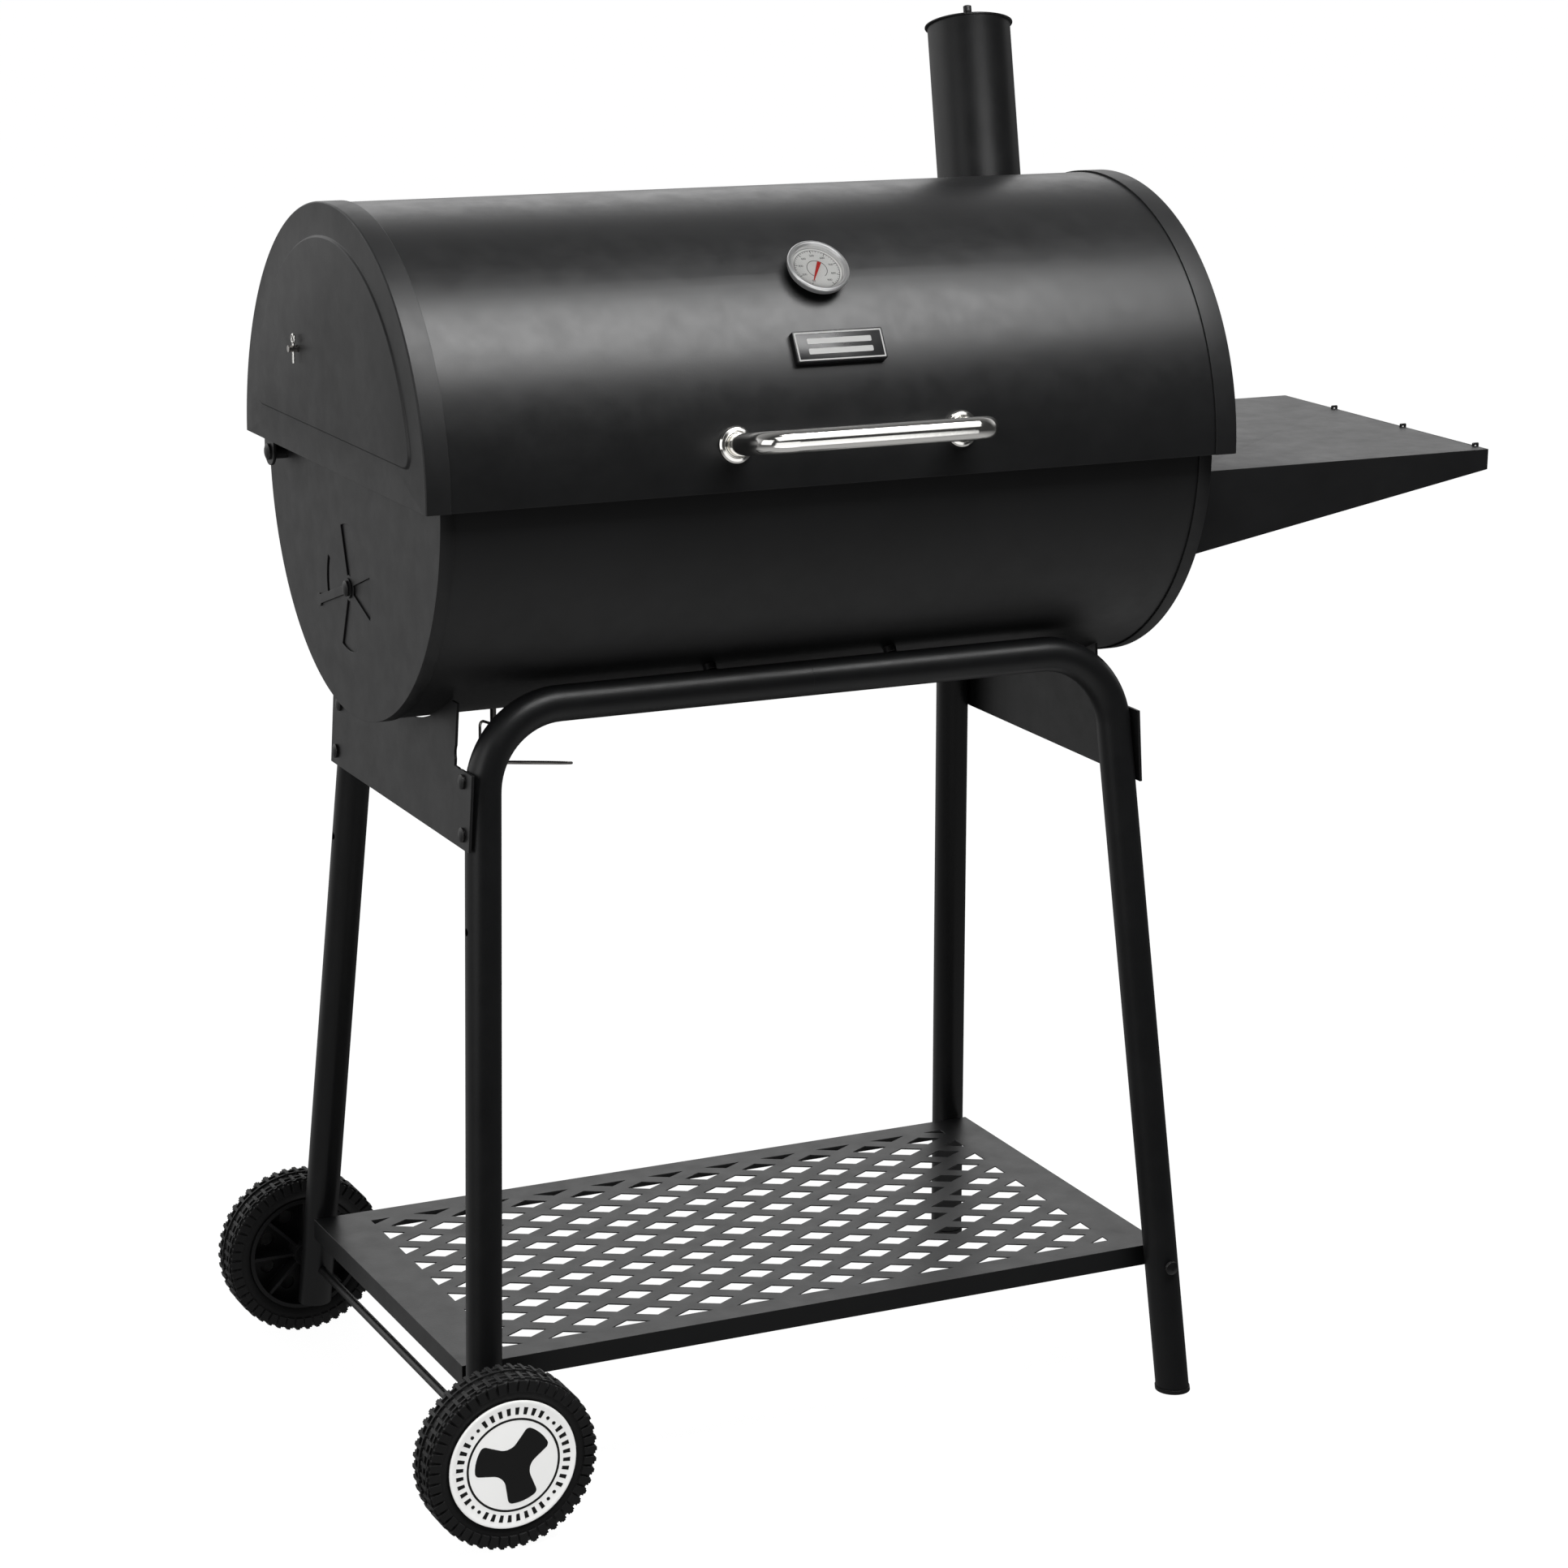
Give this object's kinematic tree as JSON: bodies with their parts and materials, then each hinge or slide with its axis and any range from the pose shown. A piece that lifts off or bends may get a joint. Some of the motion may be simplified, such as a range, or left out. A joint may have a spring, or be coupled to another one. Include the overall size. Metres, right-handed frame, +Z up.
{
  "type": "barrel charcoal grill",
  "caption": "Barrel charcoal grill with a hinged lid, chimney, side shelf and a wheeled tube stand with a perforated lower shelf.",
  "frame": {"origin": "on the floor at the centre of the bounding box", "axes": "+X along the barrel towards the side shelf, +Y to the back, +Z up"},
  "size_m": [1.1458, 0.5948, 1.2879],
  "materials": {
    "lid_paint": "satin high-heat black",
    "end_paint": "satin high-heat black",
    "firebox_paint": "satin high-heat black",
    "frame_paint": "satin powder coat black",
    "black_steel": "black oxide",
    "chrome": "polished",
    "bright_steel": "zinc plated",
    "plated_wire": "plated wire",
    "dial_white": "printed dial",
    "needle_red": "red lacquer",
    "lens_glass": "clear",
    "plate_plastic": "black plate with a light border",
    "cast_grate": "seasoned cast iron",
    "tyre": "moulded black",
    "hub_plastic": "moulded black",
    "cap_plastic": "light hub cap"
  },
  "bodies": {
    "stand": {"hinge_bolts": "black_steel", "hinge_fittings": "black_steel", "firebox_skin": "firebox_paint", "firebox_end_left": "end_paint", "firebox_end_right": "end_paint", "damper_bolt": "black_steel", "charcoal_tray": "firebox_paint", "grate_rests": "firebox_paint", "cooking_grates": "cast_grate", "rack_pivots": "firebox_paint", "front_leg_left": "frame_paint", "front_leg_right": "frame_paint", "rear_leg_left": "frame_paint", "rear_leg_right": "frame_paint", "rail_couplers": "frame_paint", "firebox_bolts": "black_steel", "firebox_fittings": "black_steel", "side_bracket_left": "end_paint", "side_bracket_right": "end_paint", "bracket_bolts": "black_steel", "lower_shelf": "frame_paint", "shelf_bolts": "black_steel", "axle": "black_steel", "axle_fittings": "black_steel", "side_shelf": "firebox_paint", "side_shelf_bolts": "black_steel", "tool_hooks": "frame_paint", "grease_cup_holder": "plated_wire", "foot_plugs": "hub_plastic"},
    "lid": {"lid_skin": "lid_paint", "lid_end_left": "end_paint", "lid_end_right": "end_paint", "hinge_ears": "lid_paint", "lid_handle": "chrome", "handle_bezels": "chrome", "handle_screws": "bright_steel", "thermometer_case": "chrome", "thermometer_dial": "dial_white", "thermometer_lens": "lens_glass", "thermometer_nut": "bright_steel", "name_plate": "plate_plastic", "chimney_pipe": "lid_paint", "chimney_flange": "lid_paint", "cap_bridge": "lid_paint"},
    "needle": {"thermometer_needle": "needle_red"},
    "chimney_cap": {"chimney_cap": "frame_paint", "cap_knob": "frame_paint"},
    "warming_rack": {"warming_rack": "plated_wire", "cotter_pins": "chrome"},
    "rack_legs": {"rack_legs": "plated_wire"},
    "damper": {"damper_disc": "firebox_paint", "damper_lever": "frame_paint"},
    "wheel_front": {"wheel_hub_front": "hub_plastic", "tyre_front": "tyre", "hub_cap_front": "cap_plastic"},
    "wheel_rear": {"wheel_hub_rear": "hub_plastic", "tyre_rear": "tyre", "hub_cap_rear": "cap_plastic"}
  },
  "joints": [
    {"name": "lid_hinge", "type": "hinge", "parent": "stand", "child": "lid", "pos_m": [-0.14811, 0.18053, 0.899], "axis": [-1, 0, 0], "range_deg": [0, 56]},
    {"name": "rack_on_lid", "type": "hinge", "parent": "lid", "child": "warming_rack", "pos_m": [-0.14811, 0.08353, 1.007], "axis": [-1, 0, 0], "range_deg": [-56, 0]},
    {"name": "rack_leg_swing", "type": "hinge", "parent": "stand", "child": "rack_legs", "pos_m": [-0.14811, -0.01947, 0.883], "axis": [-1, 0, 0], "range_deg": [0, 56]},
    {"name": "damper_turn", "type": "hinge", "parent": "stand", "child": "damper", "pos_m": [-0.52261, 0.01553, 0.802], "axis": [1, 0, 0], "range_deg": [0, 36]},
    {"name": "cap_lift", "type": "slide", "parent": "lid", "child": "chimney_cap", "axis": [0.0805, 0.3338, 0.9392], "range_m": [0, 0.025]},
    {"name": "needle_turn", "type": "hinge", "parent": "lid", "child": "needle", "pos_m": [-0.14811, -0.15315, 1.08603], "axis": [0, 0.673, -0.7396], "range_deg": [0, 270]},
    {"name": "wheel_front_spin", "type": "hinge", "parent": "stand", "child": "wheel_front", "pos_m": [-0.49289, -0.26377, 0.08], "axis": [0, 1, 0], "continuous": true},
    {"name": "wheel_rear_spin", "type": "hinge", "parent": "stand", "child": "wheel_rear", "pos_m": [-0.49289, 0.27783, 0.08], "axis": [0, 1, 0], "continuous": true}
  ],
  "couplings": [
    {"joint": "rack_on_lid", "follows": "lid_hinge", "ratio": -1},
    {"joint": "rack_leg_swing", "follows": "lid_hinge", "ratio": 1}
  ]
}
